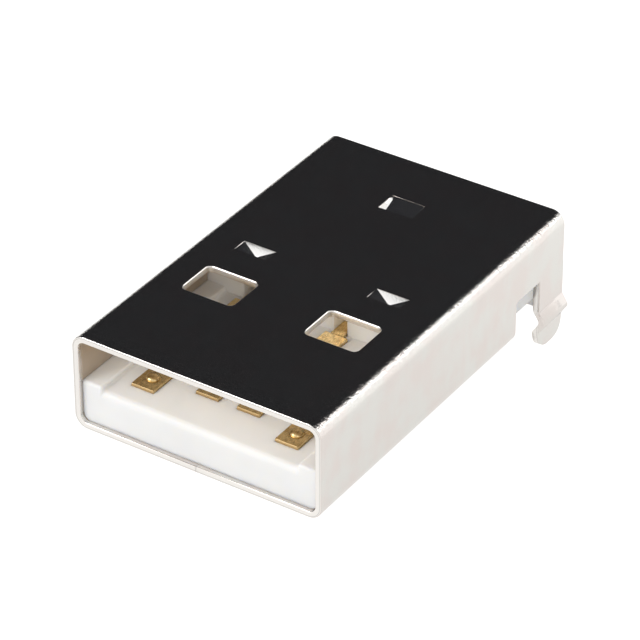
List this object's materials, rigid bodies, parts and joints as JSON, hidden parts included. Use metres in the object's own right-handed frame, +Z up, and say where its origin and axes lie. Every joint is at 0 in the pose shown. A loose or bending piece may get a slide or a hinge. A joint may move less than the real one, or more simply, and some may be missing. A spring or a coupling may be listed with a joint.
{
  "type": "usb-a plug",
  "caption": "Flat metal-shelled plug for a circuit board, with square windows, a white tongue carrying flat gold contacts, board tails and kinked shell legs.",
  "frame": {"origin": "middle of the plug's mouth, on the plug's long axis", "axes": "+Y from the mouth towards the board, +Z up out of the side with the punch marks and the latch, +X across the plug to the right as seen from the mouth"},
  "size_m": [0.0126, 0.0188, 0.006],
  "materials": {
    "nickel_plate": "bright nickel plate on a folded sheet, polished, with a fine grain on the sides",
    "white_plastic": "white moulded plastic, satin",
    "gold_plate": "gold plate on stamped copper alloy, satin"
  },
  "bodies": {
    "root": {"shell": "nickel_plate", "insulator": "white_plastic", "contact_1": "gold_plate", "contact_2": "gold_plate", "contact_3": "gold_plate", "contact_4": "gold_plate"}
  },
  "joints": []
}
